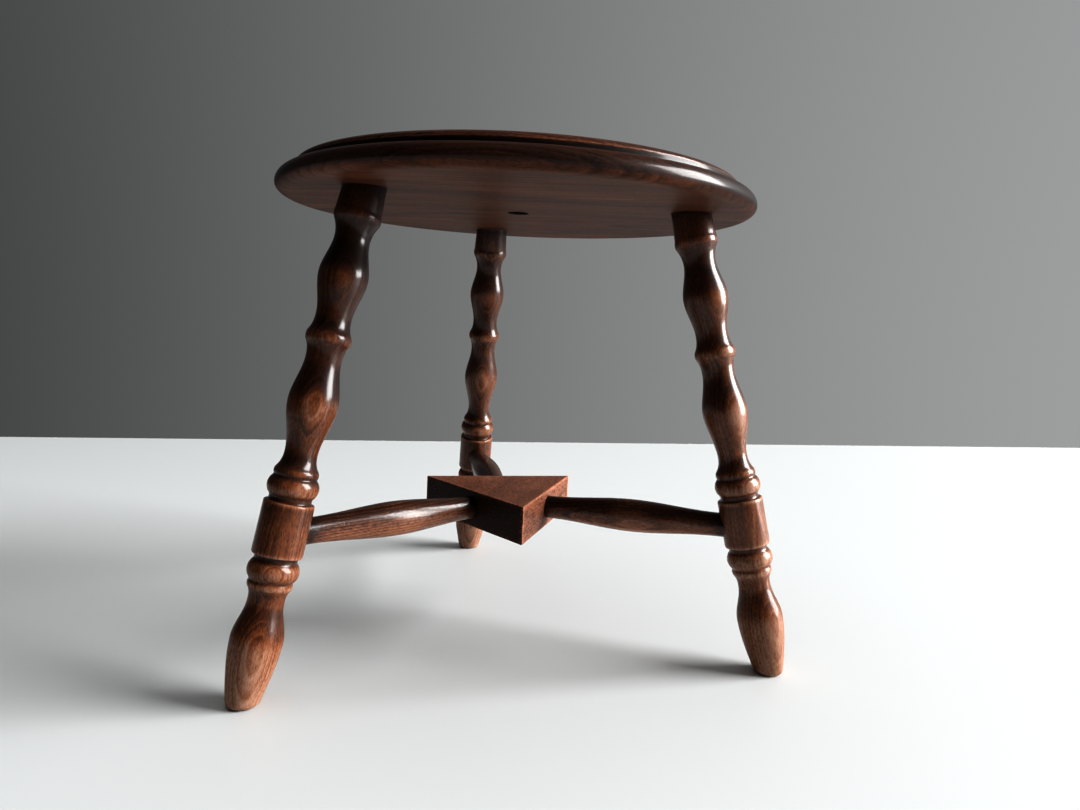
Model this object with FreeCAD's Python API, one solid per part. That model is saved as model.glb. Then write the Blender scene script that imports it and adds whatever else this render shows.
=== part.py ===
import FreeCAD, Part
import math
import os

# A low three-legged stool in stained beech: a round moulded seat on splayed turned legs, tied together
# by three swelling rungs that meet in a triangular hub block. Millimetres, +Z up, the origin on the
# floor under the seat's centre, the back leg towards +Y.

# Seat: a disc glued up from boards, with a bullnose rim, a quirk and an ovolo rising to the flat top
SEAT_HEIGHT = 361.0
SEAT_THICKNESS = 25.5
SEAT_RADIUS = 180.0
SEAT_BOARDS = ("front", "middle", "back")
SEAT_GRAIN_TURN = -13.0
BULLNOSE_HEIGHT = 15.8
BULLNOSE_UNDER_HEIGHT = 6.4
BULLNOSE_UNDER_WIDTH = 10.0
BULLNOSE_OVER_WIDTH = 10.5
QUIRK_WIDTH = 3.0
QUIRK_HEIGHT = 3.8
OVOLO_WIDTH = 17.5
CENTRE_HOLE_RADIUS = 8.0
CENTRE_HOLE_DEPTH = 12.0
CENTRE_HOLE_POINT_DEPTH = 3.0

# Legs: how far the leg's axis stands inside the rim at the seat and outside it at the floor, and the
# radii of its turned members
LEG_SIDES = ("back", "left", "right")
BACK_LEG_TURN = 90.0
SOCKET_INSET = 46.0
FOOT_OVERHANG = 35.0
LEG_TENON_LENGTH = 18.0
LEG_SAW_ALLOWANCE = 8.0
LEG_STEM_RADIUS = 14.3
LEG_TOP_RIDGE_RADIUS = 15.6
LEG_RIDGE_RADIUS = 14.8
LEG_NECK_RADIUS = 11.6
LEG_BULGE_RADIUS = 16.2
LEG_WAIST_RADIUS = 10.5
LEG_COLLAR_RADIUS = 14.4
LEG_TORUS_RADIUS = 16.5
LEG_GROOVE_RADIUS = 13.7
LEG_BLOCK_RADIUS = 16.3
LEG_BLOCK_CHAMFER = 0.6
LEG_ARRIS_STEP = 0.5
FOOT_BULGE_RADIUS = 16.6
FOOT_END_RADIUS = 8.7
FOOT_EASING = 3.5

# Heights of the turned members, as shares of the leg's length from the floor to the seat
FOOT_BULGE_SHARE = 0.1245
ANKLE_SHARE = 0.195
LOWER_COLLAR_SHARES = (0.2215, 0.2355)
LOWER_TORUS_SHARES = (0.2365, 0.2735)
LEG_BLOCK_SHARES = (0.2835, 0.3855)
UPPER_TORUS_SHARES = (0.3955, 0.4325)
UPPER_COLLAR_SHARES = (0.4335, 0.4475)
WAIST_SHARE = 0.478
LOWER_BULGE_SHARE = 0.5755
RIDGE_FOOT_NECK_SHARE = 0.659
RIDGE_SHARES = (0.693, 0.710)
RIDGE_HEAD_NECK_SHARE = 0.744
UPPER_BULGE_SHARE = 0.822
TOP_NECK_SHARE = 0.8955
TOP_RIDGE_SHARES = (0.932, 0.948)
STEM_SHARE = 0.990

# Hub block: an equilateral prism whose flat faces look at the legs
HUB_SIDE = 124.0
HUB_THICKNESS = 28.5
HUB_MID_HEIGHT = 104.3
HUB_EASING = 0.6

# Rungs: cigar-shaped, plain ends glued into blind bores of the hub and of the legs' plain blocks
RUNG_END_RADIUS = 8.8
RUNG_BELLY_RADIUS = 12.5
RUNG_HUB_TENON = 17.0
RUNG_LEG_TENON = 18.0
RUNG_NOSE_LENGTH = 3.0
RUNG_LEG_SHARE = 0.322

# Fits and cuts shared by all pieces
GLUE_GAP = 0.1
TENON_CHAMFER = 1.0
CUT_OVERRUN = 5.0

UP = FreeCAD.Vector(0, 0, 1)
SEAT_UNDERSIDE = SEAT_HEIGHT - SEAT_THICKNESS
LEG_TURNS = {side: BACK_LEG_TURN + step * 360 / len(LEG_SIDES) for step, side in enumerate(LEG_SIDES)}
FOOT_POINT = FreeCAD.Vector(SEAT_RADIUS + FOOT_OVERHANG, 0, 0)
LEG_RUN = FreeCAD.Vector(SEAT_RADIUS - SOCKET_INSET, 0, SEAT_UNDERSIDE) - FOOT_POINT
LEG_LENGTH = LEG_RUN.Length
LEG_PLACE = FreeCAD.Placement(FOOT_POINT, FreeCAD.Rotation(UP, LEG_RUN))
HUB_INRADIUS = HUB_SIDE / (2 * math.sqrt(3))
HUB_CENTRE = FreeCAD.Vector(0, 0, HUB_MID_HEIGHT)
RUNG_RUN = LEG_PLACE.multVec(UP * (RUNG_LEG_SHARE * LEG_LENGTH)) - HUB_CENTRE
RUNG_PLACE = FreeCAD.Placement(HUB_CENTRE, FreeCAD.Rotation(UP, RUNG_RUN))
HUB_FACE_REACH = HUB_INRADIUS * RUNG_RUN.Length / RUNG_RUN.x
LEG_FACE_REACH = RUNG_RUN.Length - LEG_BLOCK_RADIUS


def point(radius, height):
    """A point of a turning profile: distance from the axis and height along it."""
    return FreeCAD.Vector(radius, 0, height)


def line(start, end):
    return Part.LineSegment(start, end).toShape()


def arc(start, middle, end):
    return Part.Arc(start, middle, end).toShape()


def quarter_round(start, end):
    """A quarter of an ellipse that leaves start level and reaches end upright."""
    corner = FreeCAD.Vector(end.x, 0, start.z)
    curve = Part.BSplineCurve()
    curve.buildFromPolesMultsKnots([start, corner, end], [3, 3], [0, 1], False, 2, [1, math.sqrt(0.5), 1])
    return curve.toShape()


def turned(edges):
    """The solid that a closed run of profile edges sweeps around the Z axis."""
    face = Part.Face(Part.Wire(Part.__sortEdges__(edges)))
    solid = face.revolve(FreeCAD.Vector(0, 0, 0), UP, 360).Solids[0]
    return solid if solid.Volume > 0 else solid.reversed()


def placed(shape, placement, turn=0):
    """A copy of a shape at its place in the upright plane of +X, then turned about the seat's axis."""
    moved = shape.copy()
    moved.Placement = FreeCAD.Placement(FreeCAD.Vector(0, 0, 0), FreeCAD.Rotation(UP, turn)) * placement
    return moved


def drilled(radius, start, end):
    """A round cutter on the Z axis between two heights."""
    return Part.makeCylinder(radius, end - start, UP * start)


def tenon_end(radius, height, inward):
    """The chamfered end of a tenon, as profile edges that close on the axis; inward is -1 or 1 along Z."""
    shoulder = point(radius, height + inward * TENON_CHAMFER)
    rim = point(radius - TENON_CHAMFER, height)
    return [line(shoulder, rim), line(rim, point(0, height))], shoulder


def flowing(points, ends):
    """A smooth turned sweep through necks and bulges, upright at each and with given end slopes."""
    curve = Part.BSplineCurve()
    slopes = [UP] * len(points)
    slopes[0], slopes[-1] = ends
    curve.interpolate(Points=points, Tangents=slopes, TangentFlags=[True] * len(points))
    return curve.toShape()


def on_leg(share, radius):
    return point(radius, share * LEG_LENGTH)


def bead(shares, crest):
    """A rounded member between two heights, no deeper at its edges than a half round or the grooves."""
    low, high = shares
    edge = crest - min((high - low) * LEG_LENGTH / 2, crest - LEG_GROOVE_RADIUS)
    return arc(on_leg(low, edge), on_leg((low + high) / 2, crest), on_leg(high, edge))


def ridge(shares, crest):
    """A narrow rounded band that ends in an arris on both sides."""
    low, high = shares
    edge = crest - LEG_ARRIS_STEP
    return arc(on_leg(low, edge), on_leg((low + high) / 2, crest), on_leg(high, edge))


def start_of(edge):
    return edge.valueAt(edge.FirstParameter)


def end_of(edge):
    return edge.valueAt(edge.LastParameter)


def leg_block_edges():
    """The plain cylinder that takes the rung, with eased ends, between the two grooves."""
    low, high = (share * LEG_LENGTH for share in LEG_BLOCK_SHARES)
    inner = LEG_BLOCK_RADIUS - LEG_BLOCK_CHAMFER
    corners = [
        point(LEG_GROOVE_RADIUS, low),
        point(inner, low),
        point(LEG_BLOCK_RADIUS, low + LEG_BLOCK_CHAMFER),
        point(LEG_BLOCK_RADIUS, high - LEG_BLOCK_CHAMFER),
        point(inner, high),
        point(LEG_GROOVE_RADIUS, high),
    ]
    return [line(a, b) for a, b in zip(corners, corners[1:])]


def turned_leg():
    """One leg as it leaves the lathe, standing on the Z axis with its foot still overlong."""
    flare_out = FreeCAD.Vector(1, 0, 1)
    flare_in = FreeCAD.Vector(-1, 0, 1)
    lower_collar = bead(LOWER_COLLAR_SHARES, LEG_COLLAR_RADIUS)
    lower_torus = bead(LOWER_TORUS_SHARES, LEG_TORUS_RADIUS)
    block = leg_block_edges()
    upper_torus = bead(UPPER_TORUS_SHARES, LEG_TORUS_RADIUS)
    upper_collar = bead(UPPER_COLLAR_SHARES, LEG_COLLAR_RADIUS)
    middle_ridge = ridge(RIDGE_SHARES, LEG_RIDGE_RADIUS)
    top_ridge = ridge(TOP_RIDGE_SHARES, LEG_TOP_RIDGE_RADIUS)
    foot_end = point(FOOT_END_RADIUS, -LEG_SAW_ALLOWANCE)
    foot = flowing(
        [
            foot_end,
            on_leg(FOOT_BULGE_SHARE, FOOT_BULGE_RADIUS),
            on_leg(ANKLE_SHARE, LEG_NECK_RADIUS),
            start_of(lower_collar),
        ],
        (FreeCAD.Vector(FOOT_BULGE_RADIUS - FOOT_END_RADIUS, 0, FOOT_BULGE_SHARE * LEG_LENGTH), flare_out),
    )
    lower_vase = flowing(
        [
            end_of(upper_collar),
            on_leg(WAIST_SHARE, LEG_WAIST_RADIUS),
            on_leg(LOWER_BULGE_SHARE, LEG_BULGE_RADIUS),
            on_leg(RIDGE_FOOT_NECK_SHARE, LEG_NECK_RADIUS),
            start_of(middle_ridge),
        ],
        (flare_in, flare_out),
    )
    upper_vase = flowing(
        [
            end_of(middle_ridge),
            on_leg(RIDGE_HEAD_NECK_SHARE, LEG_NECK_RADIUS),
            on_leg(UPPER_BULGE_SHARE, LEG_BULGE_RADIUS),
            on_leg(TOP_NECK_SHARE, LEG_NECK_RADIUS),
            start_of(top_ridge),
        ],
        (flare_in, flare_out),
    )
    stem_foot = on_leg(STEM_SHARE, LEG_STEM_RADIUS)
    shoulder = line(end_of(top_ridge), stem_foot)
    tenon, tenon_edge = tenon_end(LEG_STEM_RADIUS, LEG_LENGTH + LEG_TENON_LENGTH, -1)
    members = [foot, lower_collar, lower_torus, *block, upper_torus, upper_collar]
    members += [lower_vase, middle_ridge, upper_vase, top_ridge, shoulder]
    outline = [line(point(0, foot_end.z), foot_end)]
    for member in members:
        if end_of(outline[-1]).distanceToPoint(start_of(member)) > 0:
            outline.append(line(end_of(outline[-1]), start_of(member)))
        outline.append(member)
    outline.append(line(stem_foot, tenon_edge))
    outline += tenon
    outline.append(line(point(0, LEG_LENGTH + LEG_TENON_LENGTH), point(0, foot_end.z)))
    return turned(outline)


def make_leg():
    """The leg in the upright plane of +X: bored for its rung, leaned over and sawn level at the floor."""
    leg = placed(turned_leg(), LEG_PLACE)
    bore = drilled(
        RUNG_END_RADIUS + GLUE_GAP,
        LEG_FACE_REACH - CUT_OVERRUN,
        LEG_FACE_REACH + RUNG_LEG_TENON + GLUE_GAP,
    )
    leg = leg.cut(placed(bore, RUNG_PLACE))
    width = 4 * FOOT_BULGE_RADIUS
    depth = LEG_SAW_ALLOWANCE + 2 * CUT_OVERRUN
    below = Part.makeBox(width, width, depth, FOOT_POINT - FreeCAD.Vector(width / 2, width / 2, depth))
    leg = leg.cut(below).Solids[0]
    sole = min(leg.Faces, key=lambda face: face.CenterOfMass.z)
    return leg.makeFillet(FOOT_EASING, sole.Edges).Solids[0]


def make_rung():
    """A rung along +Z from the hub's centre: plain tenons and a long swelling belly between the faces."""
    hub_end = HUB_FACE_REACH - RUNG_HUB_TENON
    leg_end = LEG_FACE_REACH + RUNG_LEG_TENON
    hub_tenon, hub_edge = tenon_end(RUNG_END_RADIUS, hub_end, 1)
    leg_tenon, leg_edge = tenon_end(RUNG_END_RADIUS, leg_end, -1)
    hub_nose = point(RUNG_END_RADIUS, HUB_FACE_REACH + RUNG_NOSE_LENGTH)
    leg_nose = point(RUNG_END_RADIUS, LEG_FACE_REACH - RUNG_NOSE_LENGTH)
    middle = point(RUNG_BELLY_RADIUS, (hub_nose.z + leg_nose.z) / 2)
    belly = flowing([hub_nose, middle, leg_nose], (UP, UP))
    outline = [*hub_tenon, line(hub_edge, hub_nose), belly, line(leg_nose, leg_edge), *leg_tenon]
    outline.append(line(point(0, hub_end), point(0, leg_end)))
    return turned(outline)


def make_hub():
    """The triangular block, eased on every edge and bored from its three faces for the rungs."""
    corner_reach = 2 * HUB_INRADIUS
    corners = []
    for turn in LEG_TURNS.values():
        opposite = math.radians(turn + 180)
        corners.append(FreeCAD.Vector(
            corner_reach * math.cos(opposite),
            corner_reach * math.sin(opposite),
            HUB_MID_HEIGHT - HUB_THICKNESS / 2,
        ))
    block = Part.Face(Part.makePolygon(corners + corners[:1])).extrude(UP * HUB_THICKNESS)
    hub = block.makeChamfer(HUB_EASING, block.Edges)
    bore = drilled(
        RUNG_END_RADIUS + GLUE_GAP,
        HUB_FACE_REACH - RUNG_HUB_TENON - GLUE_GAP,
        HUB_FACE_REACH + CUT_OVERRUN,
    )
    for turn in LEG_TURNS.values():
        hub = hub.cut(placed(bore, RUNG_PLACE, turn))
    return hub.Solids[0]


def turned_seat():
    """The moulded disc, from the flat underside round the rim to the flat top."""
    crest = point(SEAT_RADIUS, SEAT_UNDERSIDE + BULLNOSE_UNDER_HEIGHT)
    under_edge = point(SEAT_RADIUS - BULLNOSE_UNDER_WIDTH, SEAT_UNDERSIDE)
    over_edge = point(SEAT_RADIUS - BULLNOSE_OVER_WIDTH, SEAT_UNDERSIDE + BULLNOSE_HEIGHT)
    quirk_foot = over_edge - FreeCAD.Vector(QUIRK_WIDTH, 0, 0)
    quirk_head = quirk_foot + UP * QUIRK_HEIGHT
    top_edge = point(quirk_head.x - OVOLO_WIDTH, SEAT_HEIGHT)
    return turned([
        line(point(0, SEAT_UNDERSIDE), under_edge),
        quarter_round(under_edge, crest),
        quarter_round(over_edge, crest),
        line(over_edge, quirk_foot),
        line(quirk_foot, quirk_head),
        quarter_round(top_edge, quirk_head),
        line(top_edge, point(0, SEAT_HEIGHT)),
        line(point(0, SEAT_HEIGHT), point(0, SEAT_UNDERSIDE)),
    ])


def make_seat():
    """The disc with the lathe's centre hole and the three slanting blind sockets for the legs."""
    seat = turned_seat()
    hole_head = SEAT_UNDERSIDE + CENTRE_HOLE_DEPTH
    seat = seat.cut(drilled(CENTRE_HOLE_RADIUS, SEAT_UNDERSIDE - CUT_OVERRUN, hole_head))
    seat = seat.cut(Part.makeCone(CENTRE_HOLE_RADIUS, 0, CENTRE_HOLE_POINT_DEPTH, UP * hole_head))
    socket = drilled(
        LEG_STEM_RADIUS + GLUE_GAP,
        LEG_LENGTH - LEG_STEM_RADIUS,
        LEG_LENGTH + LEG_TENON_LENGTH + GLUE_GAP,
    )
    for turn in LEG_TURNS.values():
        seat = seat.cut(placed(socket, LEG_PLACE, turn))
    return seat


def seat_board(seat, index):
    """One of the equal boards, edge to edge across the grain, that the disc was glued up from."""
    width = 2 * SEAT_RADIUS / len(SEAT_BOARDS)
    corner = FreeCAD.Vector(-SEAT_RADIUS, index * width - SEAT_RADIUS, SEAT_UNDERSIDE)
    plank = Part.makeBox(2 * SEAT_RADIUS, width, SEAT_THICKNESS, corner)
    plank.rotate(FreeCAD.Vector(0, 0, 0), UP, SEAT_GRAIN_TURN)
    return seat.common(plank).Solids[0]


def main():
    nodes = {"hub_block": make_hub()}
    seat = make_seat()
    for index, name in enumerate(SEAT_BOARDS):
        nodes["seat_board_" + name] = seat_board(seat, index)
    leg = make_leg()
    rung = make_rung()
    for side, turn in LEG_TURNS.items():
        nodes["leg_" + side] = placed(leg, FreeCAD.Placement(), turn)
        nodes["rung_" + side] = placed(rung, RUNG_PLACE, turn)
    os.makedirs("parts", exist_ok=True)
    for name, shape in nodes.items():
        shape.exportStep("parts/" + name + ".step")
        print(name, shape.ShapeType, shape.isValid(), round(shape.Volume), shape.BoundBox)


main()
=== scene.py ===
import math

import bpy
import numpy as np
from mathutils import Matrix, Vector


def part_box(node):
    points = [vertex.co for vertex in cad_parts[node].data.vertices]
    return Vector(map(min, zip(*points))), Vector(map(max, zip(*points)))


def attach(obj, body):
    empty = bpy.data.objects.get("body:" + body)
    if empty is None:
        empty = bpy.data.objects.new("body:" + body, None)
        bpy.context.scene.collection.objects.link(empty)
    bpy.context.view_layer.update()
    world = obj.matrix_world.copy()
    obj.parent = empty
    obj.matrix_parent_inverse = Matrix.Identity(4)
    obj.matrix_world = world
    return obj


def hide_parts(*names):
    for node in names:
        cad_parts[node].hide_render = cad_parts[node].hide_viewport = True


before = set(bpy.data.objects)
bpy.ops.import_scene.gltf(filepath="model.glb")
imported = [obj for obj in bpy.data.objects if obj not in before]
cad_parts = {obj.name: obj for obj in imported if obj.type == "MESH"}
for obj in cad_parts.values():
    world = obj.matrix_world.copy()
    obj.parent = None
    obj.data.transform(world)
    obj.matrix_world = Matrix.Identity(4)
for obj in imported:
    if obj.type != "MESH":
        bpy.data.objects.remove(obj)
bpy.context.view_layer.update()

# Hub block
# A triangular block of beech, sawn with its grain along the right-hand front face, so the other two side
# faces show end grain, drawn nearly black: partly the stain it drank, partly painted shade on faces turned
# from the light. Its arrises are eased and rubbed, and each face takes a rung.

hub_low, hub_high = (np.array(corner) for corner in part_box("hub_block"))
hub_inradius = hub_high[1]
hub_easing = 0.0006
hub_corner_round = 0.0008
hub_corner_turns = (270, 30, 150)
hub_corner_points = 9
hub_side_points = 40
hub_side_rings = 10
hub_easing_rings = 6
hub_flat_rings = 16
hub_flat_start = 0.12
hub_flat_crowding = 1.5


def hub_outline(grain_turn):
    """A triangle with round corners: at each corner an arc of 120 degrees about a centre on the corner's
    bisector, then evenly spaced points along the straight side to the next arc. Also gives how far each
    point lies from the nearest corner, and how squarely its face cuts the grain: the size of the cosine
    of the angle between the face's direction and the grain's."""
    corner_turns = np.radians(hub_corner_turns)[:, None]
    swing = np.radians(np.linspace(-60, 60, hub_corner_points))
    bisectors = np.stack([np.cos(corner_turns), np.sin(corner_turns)], -1)
    angles = corner_turns + swing
    arcs = 2 * (hub_inradius - hub_corner_round) * bisectors
    arcs = arcs + hub_corner_round * np.stack([np.cos(angles), np.sin(angles)], -1)
    share = np.linspace(0, 1, hub_side_points + 2)[1:-1][None, :, None]
    start, end = arcs[:, -1:], np.roll(arcs, -1, axis=0)[:, :1]
    sides = start + (end - start) * share
    points = np.concatenate([arcs, sides], axis=1).reshape(-1, 2)
    side_turns = np.broadcast_to(corner_turns + math.radians(60), sides.shape[:2])
    facing = np.concatenate([angles, side_turns], axis=1).ravel()
    side_length = np.linalg.norm(end - start, axis=-1)
    from_corner = side_length * np.minimum(share[..., 0], 1 - share[..., 0])
    from_corner = np.concatenate([np.zeros(angles.shape), from_corner], axis=1).ravel()
    return points, from_corner, np.abs(np.cos(facing - grain_turn))


def hub_section():
    """Half of the block's upright section from the middle of the bottom to the middle of the top, as the
    inset from the outline and the height of each ring: two flats, whose rings crowd towards the arris by a
    power of the share of the way, two quarter rounds and a straight side."""
    quarter = np.radians(np.linspace(0, 90, hub_easing_rings))
    flat = hub_inradius * (1 - np.linspace(hub_flat_start, 1, hub_flat_rings)) ** hub_flat_crowding
    flat = flat[flat > hub_easing]
    round_inset = hub_easing * (1 - np.sin(quarter))
    round_height = hub_easing * (1 - np.cos(quarter))
    side = np.linspace(hub_low[2] + hub_easing, hub_high[2] - hub_easing, hub_side_rings + 2)[1:-1]
    inset = np.concatenate([flat, round_inset, 0 * side, round_inset[::-1], flat[::-1]])
    height = np.concatenate([
        np.full(flat.shape, hub_low[2]),
        hub_low[2] + round_height,
        side,
        hub_high[2] - round_height[::-1],
        np.full(flat.shape, hub_high[2]),
    ])
    return inset, height


sharpest_soft_edge = math.radians(40)


def closed_skin(name, rings, poles, fields):
    """A closed mesh from rings of points, bottom to top and anticlockwise: quads between neighbouring
    rings and a fan of triangles to a pole at each end. Each field is a value for every point."""
    count, around = rings.shape[:2]
    points = np.concatenate([rings.reshape(-1, 3), poles])
    here = np.arange(around)
    beside = np.roll(here, -1)
    base = (np.arange(count - 1) * around)[:, None]
    quads = np.stack([base + here, base + beside, base + beside + around, base + here + around], -1)
    top = (count - 1) * around
    low_fan = np.stack([beside, here, np.full(around, count * around)], -1)
    high_fan = np.stack([top + here, top + beside, np.full(around, count * around + 1)], -1)
    corners = np.concatenate([quads.ravel(), low_fan.ravel(), high_fan.ravel()])
    sizes = np.concatenate([np.full((count - 1) * around, 4), np.full(2 * around, 3)])
    mesh = bpy.data.meshes.new(name)
    mesh.vertices.add(len(points))
    mesh.vertices.foreach_set("co", points.ravel())
    mesh.loops.add(len(corners))
    mesh.loops.foreach_set("vertex_index", corners.astype(np.int32))
    mesh.polygons.add(len(sizes))
    mesh.polygons.foreach_set("loop_start", (np.cumsum(sizes) - sizes).astype(np.int32))
    mesh.update(calc_edges=True)
    for field, values in fields.items():
        kind, key = ("FLOAT", "value") if values.ndim == 1 else ("FLOAT_VECTOR", "vector")
        attribute = mesh.attributes.new(field, kind, "POINT")
        attribute.data.foreach_set(key, values.astype(np.float32).ravel())
    mesh.shade_smooth()
    mesh.set_sharp_from_angle(angle=sharpest_soft_edge)
    piece = bpy.data.objects.new(name, mesh)
    bpy.context.scene.collection.objects.link(piece)
    return piece


def put_node(tree, kind, *inputs, **settings):
    """One node: its settings, then its inputs in order, each a value, a link or None."""
    node = tree.nodes.new(kind)
    for setting, value in settings.items():
        setattr(node, setting, value)
    for socket, value in zip(node.inputs, inputs):
        if isinstance(value, bpy.types.NodeSocket):
            tree.links.new(value, socket)
        elif value is not None:
            socket.default_value = value
    return node


def put_sum(tree, operation, *inputs):
    """One step of arithmetic between values or links."""
    return put_node(tree, "ShaderNodeMath", *inputs, operation=operation).outputs[0]


def wood_field(tree, name, kind="Fac"):
    """A field that the mesh holds for every point."""
    return put_node(tree, "ShaderNodeAttribute", attribute_name=name).outputs[kind]


def wood_noise(tree, parts, cells, detail=2.0, roughness=0.5):
    """Noise between 0 and 1, about a middle of a half, at a place whose three parts are stretched by three
    numbers of cells to the unit."""
    place = [put_sum(tree, "MULTIPLY", part, cell) for part, cell in zip(parts, cells)]
    node = put_node(tree, "ShaderNodeTexNoise", put_node(tree, "ShaderNodeCombineXYZ", *place).outputs[0])
    node.inputs["Scale"].default_value = 1.0
    node.inputs["Detail"].default_value = detail
    node.inputs["Roughness"].default_value = roughness
    return node.outputs["Fac"]


def wood_band(tree, value, start, end):
    """A smooth step from 0 to 1 as a value goes, up or down, from the start to the end."""
    return put_node(tree, "ShaderNodeMapRange", value, start, end, interpolation_type="SMOOTHSTEP").outputs[0]


def wood_line(tree, value, start, crest, end):
    """A soft line: a smooth step from the start to the crest, less one from the crest to the end."""
    rise = wood_band(tree, value, start, crest)
    return put_sum(tree, "SUBTRACT", rise, wood_band(tree, value, crest, end))


noise_middle = 0.5
ring_bend = 2.2
ring_bend_cells = (45, 45, 10)
ring_bend_detail = 3
ring_dark_line = (0.45, 0.88, 1.0)
ring_pale_line = (0.0, 0.08, 0.26)
ring_pale_weight = 0.7
ring_clear_cells = (70, 70, 16)
ring_clear_limits = (0.26, 0.58)
dark_fleck_limits = (0.53, 0.64)
pale_fleck_limits = (0.45, 0.32)
pale_fleck_weight = 0.7
fleck_detail = 1.5
streak_cells = (1100, 1100, 40)
blotch_cells = (48, 48, 12)
blotch_roughness = 0.6
patch_cells = (260, 260, 45)
patch_detail = 3
lightening_patch_limits = (0.20, 0.52)
stain_and_shade_weight = -0.50
lightening_weight = 0.36
middle_tone = 0.5
smooth_roughness = 0.36
streak_roughness = 0.20
rubbed_roughness = 0.20
fleck_dip = -0.6
bump_strength = 0.22
bump_depth = 0.0003
bare_wood_shine = 0.10
lacquer_refraction = 1.5


def stained_beech(name, tones, figure, ring_width, fleck_reach, fleck_size, gloss, gloss_blur, grain_of=None):
    """Stained beech under lacquer. The grain field holds each point's place about the tree's pith: two
    ways across, then along the grain. Rings are steps of the distance from the pith, bent by slow noise,
    each with a soft dark line and a thin pale one. Ray flecks are noise round the pith, as wide as the
    fleck size says at the fleck reach from it, as long along the grain, and twice as wide outwards.
    Streaks, patches and blotches are noise drawn out along the grain. The figure says how much each of
    them shifts the tone. The field of stain and painted shade darkens hollows, end grain and shaded parts,
    or lightens where it is negative, in places as painted light. The field of wear lightens arrises, and on
    the seat's rim it also holds a painted highlight. A gloss is an even lacquer that follows the grain.
    With a gloss of none, the lacquer field says how much there is."""
    material = bpy.data.materials.new(name)
    material.use_nodes = True
    tree = material.node_tree
    shader = tree.nodes["Principled BSDF"]
    grain = grain_of(tree) if grain_of else wood_field(tree, "grain", "Vector")
    across, upward, along = put_node(tree, "ShaderNodeSeparateXYZ", grain).outputs
    place = (across, upward, along)
    square = put_sum(tree, "ADD", put_sum(tree, "POWER", across, 2), put_sum(tree, "POWER", upward, 2))
    radius = put_sum(tree, "SQRT", square)
    turn = put_sum(tree, "ARCTAN2", upward, across)

    slow = wood_noise(tree, place, ring_bend_cells, ring_bend_detail)
    bent = put_sum(tree, "MULTIPLY_ADD", slow, ring_bend * ring_width, radius)
    phase = put_sum(tree, "FRACT", put_sum(tree, "DIVIDE", bent, ring_width))
    late = wood_line(tree, phase, *ring_dark_line)
    pale = put_sum(tree, "MULTIPLY", wood_line(tree, phase, *ring_pale_line), ring_pale_weight)
    clear = wood_band(tree, wood_noise(tree, place, ring_clear_cells), *ring_clear_limits)
    lines = put_sum(tree, "MULTIPLY", put_sum(tree, "SUBTRACT", pale, late), clear)

    fleck_cells = (fleck_reach / fleck_size[0], 1 / fleck_size[1], 0.5 / fleck_size[0])
    fleck = wood_noise(tree, (turn, along, radius), fleck_cells, fleck_detail)
    dark_fleck = wood_band(tree, fleck, *dark_fleck_limits)
    pale_fleck = wood_band(tree, fleck, *pale_fleck_limits)
    darkness = put_sum(tree, "MULTIPLY", dark_fleck, -1)
    flecks = put_sum(tree, "MULTIPLY_ADD", pale_fleck, pale_fleck_weight, darkness)
    streak = wood_noise(tree, place, streak_cells)
    blotch = wood_noise(tree, place, blotch_cells, roughness=blotch_roughness)
    patch = wood_noise(tree, place, patch_cells, patch_detail)
    patchy_lightening = put_sum(tree, "MULTIPLY", wood_field(tree, "lightened"), wood_band(tree, patch, *lightening_patch_limits))

    tone = middle_tone
    weighed_parts = (
        (put_sum(tree, "SUBTRACT", blotch, noise_middle), figure["blotch"]),
        (put_sum(tree, "SUBTRACT", streak, noise_middle), figure["streak"]),
        (put_sum(tree, "SUBTRACT", patch, noise_middle), figure["patch"]),
        (lines, figure["ring"]),
        (flecks, figure["fleck"]),
        (wood_field(tree, "stain_and_shade"), stain_and_shade_weight),
        (patchy_lightening, lightening_weight),
    )
    for part, weight in weighed_parts:
        tone = put_sum(tree, "MULTIPLY_ADD", part, weight, tone)
    ramp = put_node(tree, "ShaderNodeValToRGB", tone)
    for position, colour in tones:
        ramp.color_ramp.elements.new(position).color = (*colour, 1)
    ramp.color_ramp.elements.remove(ramp.color_ramp.elements[0])
    ramp.color_ramp.elements.remove(ramp.color_ramp.elements[-1])
    tree.links.new(ramp.outputs["Color"], shader.inputs["Base Color"])

    rough = put_sum(tree, "MULTIPLY_ADD", streak, streak_roughness, smooth_roughness)
    rough = put_sum(tree, "MULTIPLY_ADD", patchy_lightening, rubbed_roughness, rough)
    tree.links.new(rough, shader.inputs["Roughness"])
    bump = put_node(tree, "ShaderNodeBump")
    bump.inputs["Strength"].default_value = bump_strength
    bump.inputs["Distance"].default_value = bump_depth
    tree.links.new(put_sum(tree, "MULTIPLY_ADD", dark_fleck, fleck_dip, streak), bump.inputs["Height"])
    tree.links.new(bump.outputs["Normal"], shader.inputs["Normal"])
    shader.inputs["Specular IOR Level"].default_value = bare_wood_shine
    shader.inputs["Coat Roughness"].default_value = gloss_blur
    shader.inputs["Coat IOR"].default_value = lacquer_refraction
    if gloss:
        shader.inputs["Coat Weight"].default_value = gloss
        tree.links.new(bump.outputs["Normal"], shader.inputs["Coat Normal"])
    else:
        tree.links.new(wood_field(tree, "lacquer"), shader.inputs["Coat Weight"])
    return material


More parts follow.
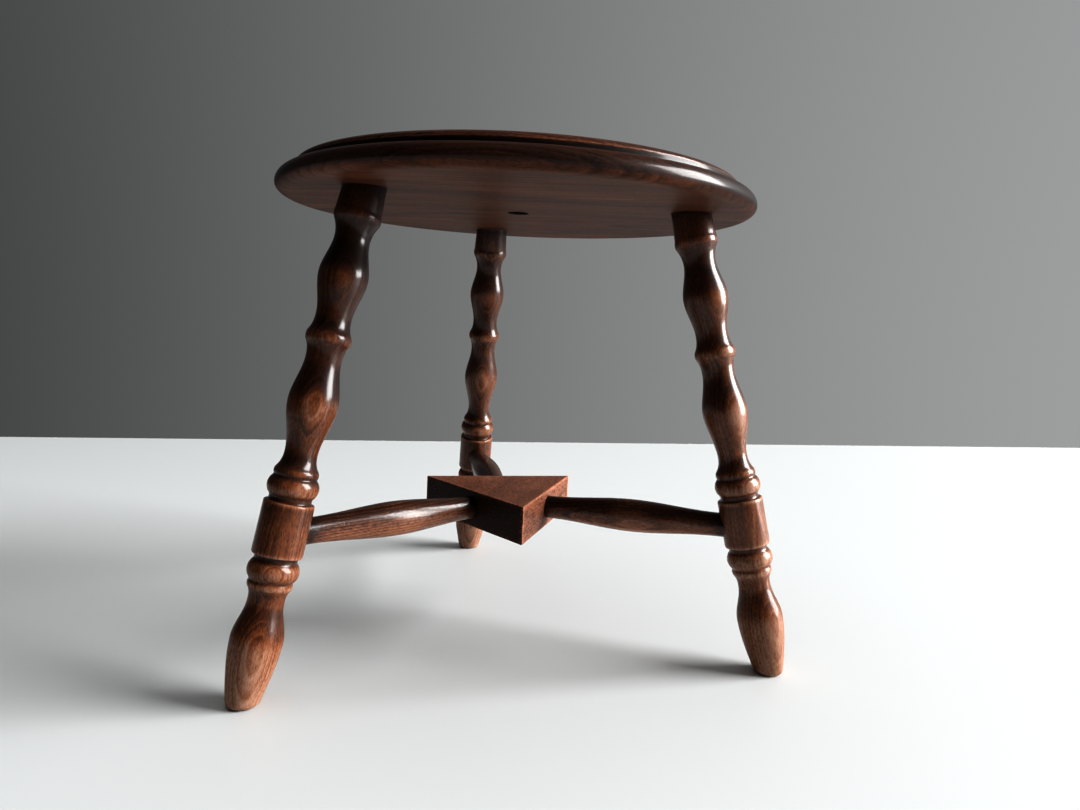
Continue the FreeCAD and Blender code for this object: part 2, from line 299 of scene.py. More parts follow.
hub_tones = (
    (0.0, (0.010, 0.006, 0.004)),
    (0.30, (0.056, 0.023, 0.014)),
    (0.60, (0.222, 0.092, 0.053)),
    (0.99, (0.40, 0.200, 0.128)),
)
hub_figure = {"blotch": 0.15, "patch": 0.12, "streak": 0.36, "ring": 0.05, "fleck": 0.20}
hub_grain_turn = math.radians(60)
hub_pith = (0.031, 0.046)
hub_ring_width = 0.0030
hub_fleck_reach = 0.15
hub_fleck_size = (0.0008, 0.004)
hub_gloss = 0.05
hub_gloss_blur = 0.30
hub_end_grain_stain_and_shade = 0.95
hub_wear_reach = 0.0012
outline, from_corner, end_grain = hub_outline(hub_grain_turn)
inset, height = hub_section()
rings = np.empty((len(inset), len(outline), 3))
rings[..., :2] = outline * (1 - inset / hub_inradius)[:, None, None]
rings[..., 2] = height[:, None]
poles = np.array([[0, 0, hub_low[2]], [0, 0, hub_high[2]]])
points = np.concatenate([rings.reshape(-1, 3), poles])
from_face = np.minimum(height - hub_low[2], hub_high[2] - height)[:, None]
on_flat = inset[:, None] > 0
from_arris = np.where(on_flat, np.hypot(inset[:, None], from_face), np.minimum(from_face, from_corner))
on_side = np.clip(from_face / hub_easing, 0, 1)
along = points[:, 0] * math.cos(hub_grain_turn) + points[:, 1] * math.sin(hub_grain_turn)
across = points[:, 1] * math.cos(hub_grain_turn) - points[:, 0] * math.sin(hub_grain_turn)
# The end grain faces are drawn nearly black: partly stain, partly painted shade.
hub = closed_skin("hub_block_finish", rings, poles, {
    "grain": np.stack([across + hub_pith[0], points[:, 2] + hub_pith[1], along], -1),
    "stain_and_shade": np.append(hub_end_grain_stain_and_shade * (on_side * end_grain).ravel(), [0, 0]),
    "lightened": np.append(np.exp(-from_arris / hub_wear_reach).ravel(), [0, 0]),
})
hub.data.materials.append(stained_beech(
    "hub_beech", hub_tones, hub_figure, hub_ring_width, hub_fleck_reach, hub_fleck_size, hub_gloss,
    hub_gloss_blur,
))
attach(hub, "root")
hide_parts("hub_block")

# Rungs
# Three rungs turned from beech, slim at the ends and swelling at mid length. Their plain ends are glued
# into blind bores in the faces of the hub and in the plain blocks of the legs.

leg_turns = {"back": 90, "left": 210, "right": 330}
seat_low, seat_high = (np.array(corner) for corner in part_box("seat_board_middle"))
seat_radius = seat_high[0]
foot_circle = seat_radius + 0.035
socket_circle = seat_radius - 0.046
leg_block_radius = 0.0163
rung_leg_share = 0.322
rung_end_radius = 0.0088
rung_belly_radius = 0.0125
rung_nose = 0.003
rung_hub_tenon = 0.017
rung_leg_tenon = 0.018
rung_around = 72
rung_step = 0.001
rung_softness = 0.0015
sweep_points = 48
pith_lean = 0.035


def bell_curve(step, softness):
    """The shares of a bell curve at even steps, over three times its softness each way, and the number of
    steps each way."""
    reach = int(math.ceil(3 * softness / step))
    shares = np.exp(-0.5 * (np.arange(-reach, reach + 1) * step / softness) ** 2)
    return shares / shares.sum(), reach


def eased_path(points, step, softness):
    """A run of points taken at even steps along its length and averaged over a bell curve of the given
    softness, which rounds its arrises as sanding does."""
    points = np.asarray(points, float)
    lengths = np.append(0, np.cumsum(np.linalg.norm(np.diff(points, axis=0), axis=1)))
    even = np.linspace(0, lengths[-1], int(lengths[-1] / step) + 1)
    path = np.stack([np.interp(even, lengths, points[:, axis]) for axis in (0, 1)], -1)
    shares, reach = bell_curve(step, softness)
    padded = np.pad(path, ((reach, reach), (0, 0)), mode="reflect", reflect_type="odd")
    return np.stack([np.convolve(padded[:, axis], shares, mode="valid") for axis in (0, 1)], -1)


def sweep(points, end_slopes):
    """A smooth run through necks and bulges, level at each of them and with the given slopes at its two
    ends: between neighbours, the cubic that has both radii and both slopes."""
    points = np.asarray(points, float)
    slope = np.zeros(len(points))
    slope[0], slope[-1] = end_slopes
    share = np.linspace(0, 1, sweep_points)[None, :]
    gap = np.diff(points[:, 0])[:, None]
    low, high = points[:-1, 1:], points[1:, 1:]
    radius = (
        (1 + 2 * share) * (1 - share) ** 2 * low
        + share * (1 - share) ** 2 * gap * slope[:-1, None]
        + share ** 2 * (3 - 2 * share) * high
        + share ** 2 * (share - 1) * gap * slope[1:, None]
    )
    return np.stack([(points[:-1, :1] + share * gap).ravel(), radius.ravel()], -1)


def turned_spokes(axis, around):
    """Directions square to an axis, evenly round it: the cosine and the sine of the turn along two
    directions that are square to the axis and to each other."""
    side = np.cross(axis, (0, 0, 1))
    side /= np.linalg.norm(side)
    front = np.cross(side, axis)
    turn = np.linspace(0, 2 * math.pi, around, endpoint=False)
    return np.cos(turn)[:, None] * front + np.sin(turn)[:, None] * np.cross(axis, front)


def turned_rings(height, radius, origin, axis, spokes):
    """Rings about an axis: the origin, plus the height along the axis, plus the radius along each spoke."""
    return origin + height[..., None] * axis + radius[..., None] * spokes


def turned_grain(points, origin, axis, towards, reach, shift):
    """Each point's place about a pith that stands off the axis by the reach and leans from it: the way
    away from the pith, the way square to that, and the way along the axis plus a shift."""
    local = points - origin
    along = local @ axis
    away = local @ towards + reach + pith_lean * along
    return np.stack([away, local @ np.cross(axis, towards), along + shift], -1)


rung_tones = (
    (0.0, (0.009, 0.005, 0.004)),
    (0.30, (0.050, 0.018, 0.009)),
    (0.60, (0.190, 0.077, 0.040)),
    (0.99, (0.42, 0.200, 0.115)),
)
rung_figure = {"blotch": 0.32, "patch": 0.20, "streak": 0.18, "ring": 0.19, "fleck": 0.12}
rung_pith_turns = {"back": 40, "left": 20, "right": 110}
rung_pith_reach = 0.034
rung_ring_width = 0.0021
rung_fleck_size = (0.0008, 0.003)
rung_gloss = 0.6
rung_gloss_blur = 0.16
rung_grain_shift = 0.3
rung_end_stain = 0.9
rung_end_stain_reach = 0.005
rung_top_painted_shade = 0.65
rung_top_lift = 0.1
rung_top_limits = (-0.5, 0.8)
rung_rubbed_radii = (0.0117, 0.0125)
rung_belly_wear = 0.3
rung_beech = stained_beech(
    "rung_beech", rung_tones, rung_figure, rung_ring_width, rung_pith_reach, rung_fleck_size, rung_gloss,
    rung_gloss_blur,
)
hub_centre = np.array([0, 0, (hub_low[2] + hub_high[2]) / 2])
for number, (side, turn) in enumerate(leg_turns.items()):
    outward = np.array([math.cos(math.radians(turn)), math.sin(math.radians(turn)), 0])
    foot = foot_circle * outward
    head = socket_circle * outward + [0, 0, seat_low[2]]
    run = foot + (head - foot) * rung_leg_share - hub_centre
    reach = np.linalg.norm(run)
    axis = run / reach
    hub_face = hub_inradius / (axis @ outward)
    leg_face = reach - leg_block_radius
    swell = sweep([
        (hub_face + rung_nose, rung_end_radius),
        ((hub_face + leg_face) / 2, rung_belly_radius),
        (leg_face - rung_nose, rung_end_radius),
    ], (0, 0))
    hub_end = [(hub_face - rung_hub_tenon, rung_end_radius)]
    leg_end = [(leg_face + rung_leg_tenon, rung_end_radius)]
    section = eased_path(np.concatenate([hub_end, swell, leg_end]), rung_step, rung_softness)
    spokes = turned_spokes(axis, rung_around)
    rings = turned_rings(section[:, :1], section[:, 1:], hub_centre, axis, spokes)
    poles = hub_centre + section[[0, -1], :1] * axis
    points = np.concatenate([rings.reshape(-1, 3), poles])
    pith_turn = math.radians(rung_pith_turns[side])
    towards = math.cos(pith_turn) * spokes[0] + math.sin(pith_turn) * spokes[rung_around // 4]
    from_ends = np.minimum(np.abs(section[:, 0] - hub_face), np.abs(section[:, 0] - leg_face))
    at_ends = np.exp(-from_ends / rung_end_stain_reach)[:, None]
    # Painted shade on the top of each rung, and painted light on its underside.
    top_shade_and_under_light = np.clip(spokes[:, 2] + rung_top_lift, *rung_top_limits)
    at_belly = np.interp(section[:, 1], rung_rubbed_radii, (0, rung_belly_wear))
    rung = closed_skin("rung_" + side + "_finish", rings, poles, {
        "grain": turned_grain(points, hub_centre, axis, towards, rung_pith_reach, rung_grain_shift * number),
        "stain_and_shade": np.append((rung_end_stain * at_ends + rung_top_painted_shade * top_shade_and_under_light).ravel(), [0, 0]),
        "lightened": np.append(np.repeat(at_belly, rung_around), [0, 0]),
    })
    rung.data.materials.append(rung_beech)
    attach(rung, "root")
    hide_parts("rung_" + side)

# Legs
# Three turned legs, each one stick of beech with a tapering foot, collars, half rounds, a plain block for
# the rung, two long bulges and two ridges. They splay outwards, are glued into slanting blind sockets in
# the seat and sawn level at the floor. The bulges cut through the rings, which leaves pale ovals on them.

leg_tenon = 0.018
leg_stem_radius = 0.0143
leg_top_ridge_radius = 0.0156
leg_ridge_radius = 0.0148
leg_neck_radius = 0.0116
leg_bulge_radius = 0.0162
leg_waist_radius = 0.0105
leg_collar_radius = 0.0144
leg_torus_radius = 0.0165
leg_groove_radius = 0.0137
leg_block_easing = 0.0006
leg_arris_step = 0.0005
leg_saw_allowance = 0.008
foot_bulge_radius = 0.0166
foot_end_radius = 0.0087
foot_easing = 0.0045
foot_slant_height = 0.024
foot_end_slope = 0.18
collar_slope = 0.75
ridge_slope = 0.6
leg_around = 96
leg_step = 0.0006
leg_softness = 0.00055
swelling_points = 40
sole_easing_rings = 9
sole_ring_shares = (0.25, 0.5, 0.75)
leg_heights = {
    "foot_bulge": 0.1245,
    "foot_neck": 0.195,
    "low_collar": 0.2215,
    "low_collar_top": 0.2355,
    "low_torus": 0.2365,
    "low_torus_top": 0.2735,
    "block": 0.2835,
    "block_eased": 0.2853,
    "block_top_eased": 0.3837,
    "block_top": 0.3855,
    "high_torus": 0.3955,
    "high_torus_top": 0.4325,
    "high_collar": 0.4335,
    "high_collar_top": 0.4475,
    "waist": 0.478,
    "low_bulge": 0.5755,
    "low_neck": 0.659,
    "ridge": 0.693,
    "ridge_top": 0.710,
    "middle_neck": 0.744,
    "high_bulge": 0.822,
    "high_neck": 0.8955,
    "top_ridge": 0.932,
    "top_ridge_top": 0.948,
    "stem": 0.990,
}


def swelling(low, high, edge, crest):
    """An arc from edge radius to edge radius through a crest half way, as heights and radii: the crest,
    less the circle's radius, plus the root of its square less the square of the way from the middle."""
    height = np.linspace(low, high, swelling_points)
    half, rise = (high - low) / 2, crest - edge
    circle = (half * half + rise * rise) / (2 * rise)
    radius = crest - circle + np.sqrt(circle * circle - (height - (low + high) / 2) ** 2)
    return np.stack([height, radius], -1)


def leg_section(length):
    """The leg's outline from just under the floor to the end of the tenon, as heights along the leg and
    radii: cubics for the foot and the bulges, arcs for the half rounds, straight lines for the block. The
    heights are shares of the leg's length."""
    at = {member: share * length for member, share in leg_heights.items()}
    ridge_edge = leg_ridge_radius - leg_arris_step
    top_ridge_edge = leg_top_ridge_radius - leg_arris_step
    block_edge = leg_block_radius - leg_block_easing
    members = [
        sweep([
            (-leg_saw_allowance, foot_end_radius),
            (at["foot_bulge"], foot_bulge_radius),
            (at["foot_neck"], leg_neck_radius),
            (at["low_collar"], leg_groove_radius),
        ], (foot_end_slope, collar_slope)),
        swelling(at["low_collar"], at["low_collar_top"], leg_groove_radius, leg_collar_radius),
        swelling(at["low_torus"], at["low_torus_top"], leg_groove_radius, leg_torus_radius),
        np.array([
            (at["block"], leg_groove_radius),
            (at["block"], block_edge),
            (at["block_eased"], leg_block_radius),
            (at["block_top_eased"], leg_block_radius),
            (at["block_top"], block_edge),
            (at["block_top"], leg_groove_radius),
        ]),
        swelling(at["high_torus"], at["high_torus_top"], leg_groove_radius, leg_torus_radius),
        swelling(at["high_collar"], at["high_collar_top"], leg_groove_radius, leg_collar_radius),
        sweep([
            (at["high_collar_top"], leg_groove_radius),
            (at["waist"], leg_waist_radius),
            (at["low_bulge"], leg_bulge_radius),
            (at["low_neck"], leg_neck_radius),
            (at["ridge"], ridge_edge),
        ], (-collar_slope, ridge_slope)),
        swelling(at["ridge"], at["ridge_top"], ridge_edge, leg_ridge_radius),
        sweep([
            (at["ridge_top"], ridge_edge),
            (at["middle_neck"], leg_neck_radius),
            (at["high_bulge"], leg_bulge_radius),
            (at["high_neck"], leg_neck_radius),
            (at["top_ridge"], top_ridge_edge),
        ], (-ridge_slope, ridge_slope)),
        swelling(at["top_ridge"], at["top_ridge_top"], top_ridge_edge, leg_top_ridge_radius),
        np.array([(at["stem"], leg_stem_radius), (length + leg_tenon, leg_stem_radius)]),
    ]
    return eased_path(np.concatenate(members), leg_step, leg_softness)


def bell_average(values, step, softness):
    """Values at even steps averaged over a bell curve."""
    shares, reach = bell_curve(step, softness)
    return np.convolve(np.pad(values, reach, mode="edge"), shares, mode="valid")


def level_foot(section, origin, axis, spokes):
    """The leg's rings with its foot sawn level, the sole's middle, and how many rings stand above the sole.
    Each ring near the floor is slid along the leg by a share, falling with height, of the slide that brings
    the lowest ring to the easing's height. Under it the ring's outline draws in along a quarter round to
    the sole and then shrinks to the middle of the sole."""
    wall_part = section[section[:, 0] > foot_easing]
    rise = spokes[:, 2] / axis[2]
    base = np.full(len(spokes), foot_easing / axis[2])
    radius = np.interp(base, section[:, 0], section[:, 1])
    radius = np.interp(base - radius * rise, section[:, 0], section[:, 1])
    slide = base - radius * rise - wall_part[0, 0]
    keep = np.clip(1 - wall_part[:, 0] / foot_slant_height, 0, 1)[:, None] ** 2
    height = wall_part[:, :1] + keep * slide
    radius = np.where(keep > 0, np.interp(height, section[:, 0], section[:, 1]), wall_part[:, 1:])
    wall = turned_rings(height, radius, origin, axis, spokes)
    wall[0, :, 2] = foot_easing
    middle = wall[0].mean(axis=0)
    quarter = np.radians(np.linspace(90, 0, sole_easing_rings + 1))[:-1, None, None]
    reach = np.linalg.norm(wall[0, :, :2] - middle[:2], axis=1)[None, :, None]
    drawn = middle[:2] + (wall[0, :, :2] - middle[:2]) * (1 - foot_easing * (1 - np.cos(quarter)) / reach)
    lifted = np.broadcast_to(foot_easing * (1 - np.sin(quarter)), drawn.shape[:2] + (1,))
    eased = np.concatenate([drawn, lifted], -1)
    centre = np.array([middle[0], middle[1], 0])
    sole = centre + (eased[0] - centre) * np.array(sole_ring_shares)[:, None, None]
    return np.concatenate([sole, eased, wall]), centre, len(wall)


leg_tones = (
    (0.0, (0.011, 0.004, 0.0022)),
    (0.30, (0.052, 0.0165, 0.0065)),
    (0.52, (0.150, 0.050, 0.0175)),
    (0.70, (0.245, 0.126, 0.079)),
    (0.99, (0.390, 0.245, 0.175)),
)
leg_figure = {"blotch": 0.32, "patch": 0.16, "streak": 0.14, "ring": 0.125, "fleck": 0.11}
leg_pith_turns = {"back": 175, "left": 65, "right": 310}
leg_pith_reach = 0.040
leg_ring_width = 0.0026
leg_fleck_size = (0.0007, 0.003)
leg_gloss_blur = 0.19
leg_grain_shift = 0.7
leg_stains = {"back": 0.10, "left": 0.12, "right": -0.06}
leg_painted_shade = {"back": 0.45, "left": 0.92, "right": 0.7}
leg_foot_wear_and_painted_light = {"back": 0.54, "left": 0.62, "right": 0.38}
leg_hollow_width = 0.006
leg_hollow_depth = 0.0024
leg_hollow_stain = 0.6
leg_arris_width = 0.0016
leg_arris_height = 0.0003
leg_arris_wear = 0.7
leg_swell_width = 0.007
leg_swell_slope = 0.16
leg_upward_painted_shade = 0.55
leg_upper_shares = (0.45, 0.95)
leg_upper_painted_shade = 0.6
leg_seat_stain = 0.6
leg_seat_stain_reach = 0.003
leg_foot_paling_heights = (0.017, 0.102)
leg_lacquer = 0.58
leg_lacquer_dry_loss = 0.45
leg_lacquer_seat_loss = 0.45
leg_lacquer_seat_reach = 0.010
leg_oval_offsets = (0.0124, 0.0162)
leg_oval_shares = (0.38, 0.46, 0.62, 0.80, 0.90)
leg_oval_paleness = (0.08, 0.46, 0.46, 0.26, 0.1)
foot_scuff = 0.45
foot_scuff_reach = 0.006
sole_stain = -0.30
sole_middle_stain = 0.3
sole_wear = 0.5
sole_lacquer = 0.1
leg_beech = stained_beech(
    "leg_beech", leg_tones, leg_figure, leg_ring_width, leg_pith_reach, leg_fleck_size, None, leg_gloss_blur,
)
leg_length = math.hypot(foot_circle - socket_circle, seat_low[2])
section = leg_section(leg_length)
height, radius = section.T
hollow = np.clip((bell_average(radius, leg_step, leg_hollow_width) - radius) / leg_hollow_depth, 0, 1)
arris = np.clip((radius - bell_average(radius, leg_step, leg_arris_width)) / leg_arris_height, 0, 1)
slope = np.gradient(bell_average(radius, leg_step, leg_swell_width), leg_step)
facing_up = np.clip(-slope / leg_swell_slope, 0, 1)
upper_part = np.interp(height / leg_length, leg_upper_shares, (0, 1))
under_seat = np.exp(-np.abs(height - leg_length) / leg_seat_stain_reach)
near_seat = np.exp(-np.abs(height - leg_length) / leg_lacquer_seat_reach)
# Near the floor the legs are lightened: partly wear and thin lacquer, partly painted light from the floor.
foot_wear_and_painted_light = np.interp(height, leg_foot_paling_heights, (1, 0))
lightened = leg_arris_wear * arris + foot_scuff * np.exp(-np.clip(height, 0, None) / foot_scuff_reach)
lacquer = leg_lacquer - leg_lacquer_dry_loss * foot_wear_and_painted_light - leg_lacquer_seat_loss * near_seat
for number, (side, turn) in enumerate(leg_turns.items()):
    outward = np.array([math.cos(math.radians(turn)), math.sin(math.radians(turn)), 0])
    origin = foot_circle * outward
    axis = (socket_circle * outward + [0, 0, seat_low[2]] - origin) / leg_length
    spokes = turned_spokes(axis, leg_around)
    rings, sole_centre, wall_count = level_foot(section, origin, axis, spokes)
    poles = np.stack([sole_centre, origin + height[-1] * axis])
    points = np.concatenate([rings.reshape(-1, 3), poles])
    # Painted shade: slopes that face up and the upper part of each leg are darkened, most on the left leg.
    painted_shade = leg_painted_shade[side] * (leg_upward_painted_shade * facing_up + leg_upper_painted_shade * upper_part)
    recess_darkening = leg_hollow_stain * hollow + leg_seat_stain * under_seat
    stain_and_shade = leg_stains[side] + painted_shade + recess_darkening - leg_foot_wear_and_painted_light[side] * foot_wear_and_painted_light
    sole_rings = len(rings) - wall_count
    along_stain = np.append(np.full(sole_rings, sole_stain), stain_and_shade[-wall_count:])
    along_worn = np.append(np.full(sole_rings, sole_wear), np.clip(lightened, 0, 1)[-wall_count:])
    along_lacquer = np.append(np.full(sole_rings, sole_lacquer), lacquer[-wall_count:])
    pith_turn = math.radians(leg_pith_turns[side])
    towards = -math.cos(pith_turn) * spokes[0] - math.sin(pith_turn) * spokes[leg_around // 4]
    oval = np.interp(np.abs((points - origin) @ towards), leg_oval_offsets, (0, 1))
    paleness = np.interp((points - origin) @ axis / leg_length, leg_oval_shares, leg_oval_paleness)
    paleness = paleness * oval ** 2 * (3 - 2 * oval)
    leg = closed_skin("leg_" + side + "_finish", rings, poles, {
        "grain": turned_grain(points, origin, axis, towards, leg_pith_reach, leg_grain_shift * number),
        "stain_and_shade": np.append(np.repeat(along_stain, leg_around), [sole_middle_stain, 0]) - paleness,
        "lightened": np.append(np.repeat(along_worn, leg_around), [sole_wear, 0]),
        "lacquer": np.append(np.repeat(along_lacquer, leg_around), [sole_lacquer, 0]),
    })
    leg.data.materials.append(leg_beech)
    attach(leg, "root")
    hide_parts("leg_" + side)

# Seat
# A disc glued up from three beech boards, edge to edge, and turned with a bullnose rim, a quirk and an
# ovolo up to the flat top. A blind hole at the middle of the underside is left from the turning. The rim
# and the top are stained darker and lacquered, the underside is left almost bare.

bullnose_height = 0.0158
bullnose_under_height = 0.0064
bullnose_under_width = 0.0100
bullnose_over_width = 0.0105
quirk_width = 0.003
quirk_height = 0.0038
ovolo_width = 0.0175
centre_hole_radius = 0.008
centre_hole_depth = 0.012
centre_hole_point = 0.003
seat_around = 288
seat_step = 0.0006
seat_softness = 0.00045
seat_inmost_radii = (0.0004, 0.002)
seat_rim_width = 0.040
seat_hole_margin = 0.003
seat_flat_thinning = 12
quarter_round_points = 14


def quarter_round(start, end):
    """A quarter of an ellipse that leaves start level and reaches end upright."""
    swing = np.linspace(0, math.pi / 2, quarter_round_points)[:, None]
    return np.concatenate([
        start[0] + (end[0] - start[0]) * np.sin(swing),
        start[1] + (end[1] - start[1]) * (1 - np.cos(swing)),
    ], axis=1)


def seat_section():
    """The disc's half section, as radii and heights, from the bottom of the centre hole along the
    underside, round the bullnose, over the quirk and the ovolo and back along the top. On the flats only
    one point in a dozen is kept."""
    under, top = seat_low[2], seat_high[2]
    crest = (seat_radius, under + bullnose_under_height)
    under_edge = (seat_radius - bullnose_under_width, under)
    over_edge = (seat_radius - bullnose_over_width, under + bullnose_height)
    quirk_foot = (over_edge[0] - quirk_width, over_edge[1])
    quirk_head = (quirk_foot[0], quirk_foot[1] + quirk_height)
    top_edge = (quirk_head[0] - ovolo_width, top)
    path = eased_path(np.concatenate([
        [
            (seat_inmost_radii[0], under + centre_hole_depth + centre_hole_point),
            (centre_hole_radius, under + centre_hole_depth),
            (centre_hole_radius, under),
        ],
        quarter_round(under_edge, crest),
        quarter_round(over_edge, crest)[::-1],
        [quirk_foot],
        quarter_round(top_edge, quirk_head)[::-1],
        [(seat_inmost_radii[1], top)],
    ]), seat_step, seat_softness)
    on_rim = path[:, 0] > seat_radius - seat_rim_width
    at_hole = path[:, 0] < centre_hole_radius + seat_hole_margin
    return path[on_rim | at_hole | (np.arange(len(path)) % seat_flat_thinning == 0)]


seat_boards = 3
seat_grain_turn = math.radians(-13)
seat_pith_reach = 0.16
board_pith_step = -0.083
board_pith_offset = 0.030
board_pith_lean = 0.06
board_figure_length = 0.4
board_figure_step = 0.61


def board_grain(tree):
    """Each point's place about the pith of its own board's tree. The point is turned so that the grain
    runs along one axis, and the board's number is the way across over the board's width, rounded down.
    Across and along are then shifted by steps of that number, and the pith lies over the board and leans
    to it. The way along is shortened, which draws the figure out as on a long plank."""
    turned = put_node(tree, "ShaderNodeMapping", put_node(tree, "ShaderNodeTexCoord").outputs["Object"])
    turned.inputs["Rotation"].default_value = (0, 0, -seat_grain_turn)
    along, across, upward = put_node(tree, "ShaderNodeSeparateXYZ", turned.outputs[0]).outputs
    board_width = 2 * seat_radius / seat_boards
    from_edge = put_sum(tree, "ADD", across, seat_radius)
    number = put_sum(tree, "FLOOR", put_sum(tree, "DIVIDE", from_edge, board_width))
    across = put_sum(tree, "MULTIPLY_ADD", number, board_pith_step, across)
    across = put_sum(tree, "ADD", across, board_pith_offset)
    upward = put_sum(tree, "SUBTRACT", upward, seat_low[2] + seat_pith_reach)
    leaning = put_sum(tree, "MULTIPLY_ADD", along, board_pith_lean, upward)
    along = put_sum(tree, "MULTIPLY", along, board_figure_length)
    along = put_sum(tree, "MULTIPLY_ADD", number, board_figure_step, along)
    return put_node(tree, "ShaderNodeCombineXYZ", across, leaning, along).outputs[0]


seat_tones = (
    (0.0, (0.008, 0.004, 0.003)),
    (0.30, (0.041, 0.0150, 0.0080)),
    (0.60, (0.150, 0.055, 0.026)),
    (0.99, (0.36, 0.175, 0.108)),
)
seat_figure = {"blotch": 0.54, "patch": 0.07, "streak": 0.24, "ring": 0.11, "fleck": 0.08}
seat_ring_width = 0.0042
seat_fleck_size = (0.0007, 0.0012)
seat_gloss_blur = 0.16
seat_stain = 0.08
seat_end_grain_stain = 0.6
rim_finish_heights = (0.0036, 0.0052)
bullnose_stain = 0.44
ovolo_stain = 0.32
quirk_painted_shade = 0.8
quirk_shade_reach = (0.00042, 0.00102)
quirk_head_easing = 0.0008
hole_stain = 1.0
hole_arris = 0.0004
hole_headroom = 0.004
arris_wear_and_highlight = 1.3
arris_wear_and_highlight_reach = 0.0007
underside_lacquer = 0.03
rim_lacquer = 0.29
section = seat_section()
radius, height = section.T
turn = np.linspace(0, 2 * math.pi, seat_around, endpoint=False)
rings = np.empty((len(section), seat_around, 3))
rings[..., 0] = section[:, :1] * np.cos(turn)
rings[..., 1] = section[:, :1] * np.sin(turn)
rings[..., 2] = section[:, 1:]
poles = np.array([[0, 0, height[0]], [0, 0, height[-1]]])
quirk_radius = seat_radius - bullnose_over_width - quirk_width
quirk_floor = seat_low[2] + bullnose_height
quirk_head = quirk_floor + quirk_height
over_quirk = height - np.clip(height, quirk_floor, quirk_head - quirk_head_easing)
# Painted shade in the quirk under the ovolo.
in_quirk = np.interp(np.hypot(radius - quirk_radius, over_quirk), quirk_shade_reach, (1, 0))
in_hole = (radius < centre_hole_radius + hole_arris) & (height < seat_high[2] - hole_headroom)
outside_quirk = radius > quirk_radius + quirk_width / 2
finished = np.interp(height - seat_low[2], rim_finish_heights, (0, 1))
on_bullnose = finished * outside_quirk
inside_quirk = (height > quirk_floor) & ~outside_quirk
on_ovolo = np.clip(1 - (quirk_radius - radius) / ovolo_width, 0, 1) * inside_quirk
recess_darkening = np.clip(quirk_painted_shade * in_quirk + hole_stain * in_hole, 0, 1)
stain_and_shade = seat_stain + recess_darkening + bullnose_stain * on_bullnose + ovolo_stain * on_ovolo
run = np.gradient(section, axis=0)
upright = np.abs(run[:, 1]) / np.hypot(run[:, 0], run[:, 1])
end_grain = upright[:, None] * np.abs(np.cos(turn - seat_grain_turn))
stain_and_shade = stain_and_shade[:, None] + seat_end_grain_stain * end_grain ** 2
# A pale line along the rim's arrises: partly wear, partly a painted highlight.
rim_arris = np.hypot(radius - quirk_radius - quirk_width, height - quirk_floor)
ovolo_arris = np.hypot(radius - quirk_radius, height - quirk_head)
lightened = arris_wear_and_highlight * np.exp(-np.minimum(rim_arris, ovolo_arris) / arris_wear_and_highlight_reach)
lacquer = underside_lacquer + rim_lacquer * finished
seat = closed_skin("seat_finish", rings, poles, {
    "stain_and_shade": np.append(stain_and_shade.ravel(), [hole_stain, 0]),
    "lightened": np.append(np.repeat(lightened, seat_around), [0, 0]),
    "lacquer": np.append(np.repeat(lacquer, seat_around), [0, underside_lacquer + rim_lacquer]),
})
seat.data.materials.append(stained_beech(
    "seat_beech", seat_tones, seat_figure, seat_ring_width, seat_pith_reach, seat_fleck_size, None,
    seat_gloss_blur, board_grain,
))
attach(seat, "root")
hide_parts("seat_board_front", "seat_board_middle", "seat_board_back")

# Floor
# A plain pale board under the stool, large enough for its shadow, with nothing else on it.
# It is painted, with a dull sheen.

floor_sides = 2.5
floor_back = 0.9
floor_colour = (0.48, 0.49, 0.49, 1)
floor_roughness = 0.5
floor_mesh = bpy.data.meshes.new("floor")
floor_mesh.from_pydata([
    (-floor_sides, -floor_sides, 0),
    (floor_sides, -floor_sides, 0),
    (floor_sides, floor_back, 0),
    (-floor_sides, floor_back, 0),
], [], [(0, 1, 2, 3)])
floor = bpy.data.objects.new("floor", floor_mesh)
bpy.context.scene.collection.objects.link(floor)
floor_paint = bpy.data.materials.new("pale_board")
floor_paint.use_nodes = True
floor_shader = floor_paint.node_tree.nodes["Principled BSDF"]
floor_shader.inputs["Base Color"].default_value = floor_colour
floor_shader.inputs["Roughness"].default_value = floor_roughness
floor_mesh.materials.append(floor_paint)

# Light
# A tall soft light from the right and a little in front, as from a window, and a dim one overhead that
# makes no reflections. Round them is a grey room that is darker on the left and in front. Where it is
# looked at, it never gets quite black.

window_size = (4.8, 6.4)
window_power = 3000
window_at = np.array([7.68, -1.77, 3.4])
window_aim = np.array([0, 0, 0.2])
ceiling_size = 4
ceiling_power = 65
ceiling_at = (0, 0, 3)
room_colour = (0.98, 1.0, 1.0, 1)
room_left_to_right = (-0.6, 0.8, 0.07, 0.48)
room_front_to_back = (-0.3, 0.5, 0.20, 1.0)
room_low_to_high = (0.40, 0.8, 1.0, 0.5)
room_right_wall = (0.80, 0.97, 0.0, 0.6)
room_least_seen = 0.12
window = bpy.data.lights.new("window", "AREA")
window.shape = "RECTANGLE"
window.size, window.size_y = window_size
window.energy = window_power
window_place = bpy.data.objects.new("window", window)
bpy.context.scene.collection.objects.link(window_place)
aim = window_aim - window_at
window_place.location = window_at
window_place.rotation_euler = (
    math.acos(-aim[2] / np.linalg.norm(aim)), 0, math.atan2(aim[1], aim[0]) - math.pi / 2,
)
window_place.visible_camera = False
ceiling = bpy.data.lights.new("ceiling", "AREA")
ceiling.size = ceiling_size
ceiling.energy = ceiling_power
ceiling_place = bpy.data.objects.new("ceiling", ceiling)
bpy.context.scene.collection.objects.link(ceiling_place)
ceiling_place.location = ceiling_at
ceiling_place.visible_camera = False
ceiling_place.visible_glossy = False


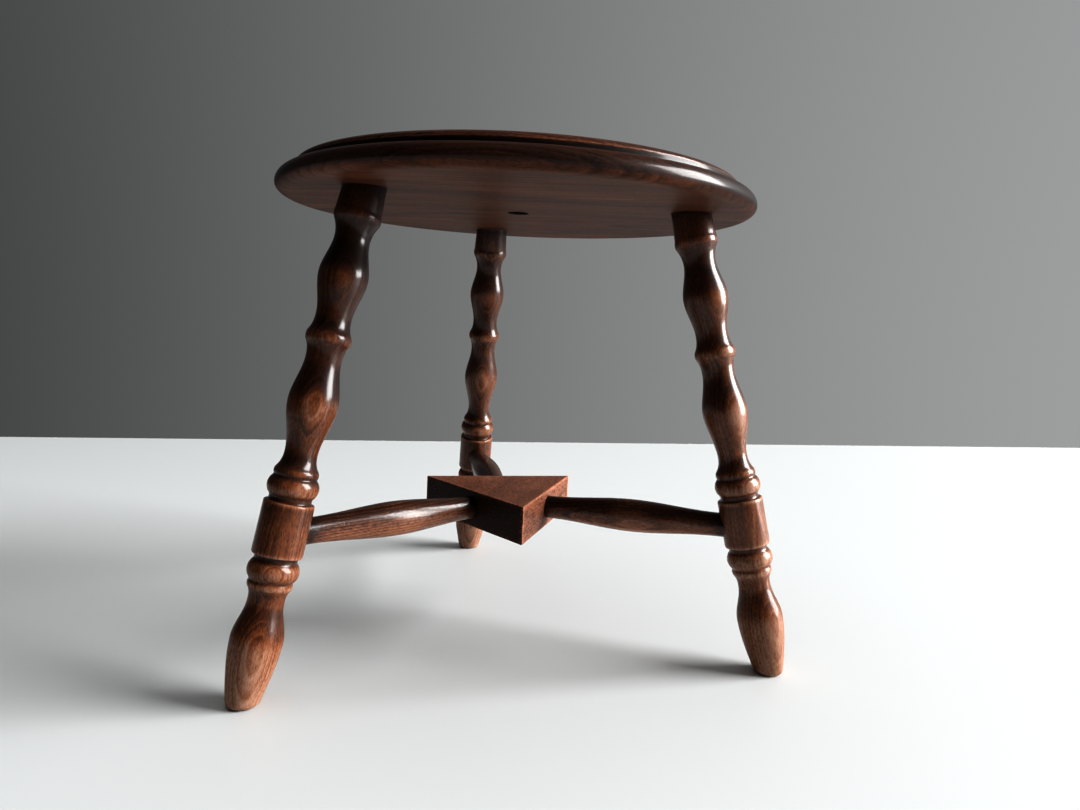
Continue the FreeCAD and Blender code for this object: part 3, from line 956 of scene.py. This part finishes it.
def room_shade(tree, way, shades):
    """A shade that goes evenly from one value to another as the way looked along goes between two limits,
    all four in one row: the limits, then the values."""
    return put_node(tree, "ShaderNodeMapRange", way, *shades).outputs[0]


room = bpy.data.worlds.new("room")
bpy.context.scene.world = room
room.use_nodes = True
tree = room.node_tree
direction = put_node(tree, "ShaderNodeTexCoord").outputs["Generated"]
rightwards, backwards, upwards = put_node(tree, "ShaderNodeSeparateXYZ", direction).outputs
lit_side = room_shade(tree, rightwards, room_left_to_right)
far_side = room_shade(tree, backwards, room_front_to_back)
right_wall = room_shade(tree, rightwards, room_right_wall)
shade = put_sum(tree, "MULTIPLY_ADD", lit_side, far_side, right_wall)
shade = put_sum(tree, "MULTIPLY", shade, room_shade(tree, upwards, room_low_to_high))
seen = put_node(tree, "ShaderNodeLightPath").outputs["Is Camera Ray"]
shade = put_sum(tree, "MAXIMUM", shade, put_sum(tree, "MULTIPLY", seen, room_least_seen))
tree.links.new(shade, tree.nodes["Background"].inputs["Strength"])
tree.nodes["Background"].inputs["Color"].default_value = room_colour

# Camera
# A wide lens a little under the seat's height, close in front of the stool and slightly rolled.
# The middle tones of its picture are darkened a little.

camera_at = np.array([-0.1089, -0.5906, 0.2553])
camera_yaw, camera_pitch, camera_roll = np.radians([-12.77, -6.63, 2.73])
camera_sensor = 36
camera_lens = 25.0
picture_gamma = 0.72
camera = bpy.data.objects.new("camera", bpy.data.cameras.new("camera"))
bpy.context.scene.collection.objects.link(camera)
camera.data.sensor_width = camera_sensor
camera.data.lens = camera_lens
level = np.array([math.cos(camera_yaw), math.sin(camera_yaw), 0])
level_ahead = np.array([-math.sin(camera_yaw), math.cos(camera_yaw), 0])
ahead = level_ahead * math.cos(camera_pitch) + [0, 0, math.sin(camera_pitch)]
upright = np.cross(level, ahead)
right = level * math.cos(camera_roll) + upright * math.sin(camera_roll)
above = upright * math.cos(camera_roll) - level * math.sin(camera_roll)
pose = np.eye(4)
pose[:3] = np.stack([right, above, -ahead, camera_at], -1)
camera.matrix_world = pose.T.tolist()
bpy.context.scene.camera = camera
bpy.context.scene.view_settings.view_transform = "Standard"
bpy.context.scene.view_settings.gamma = picture_gamma
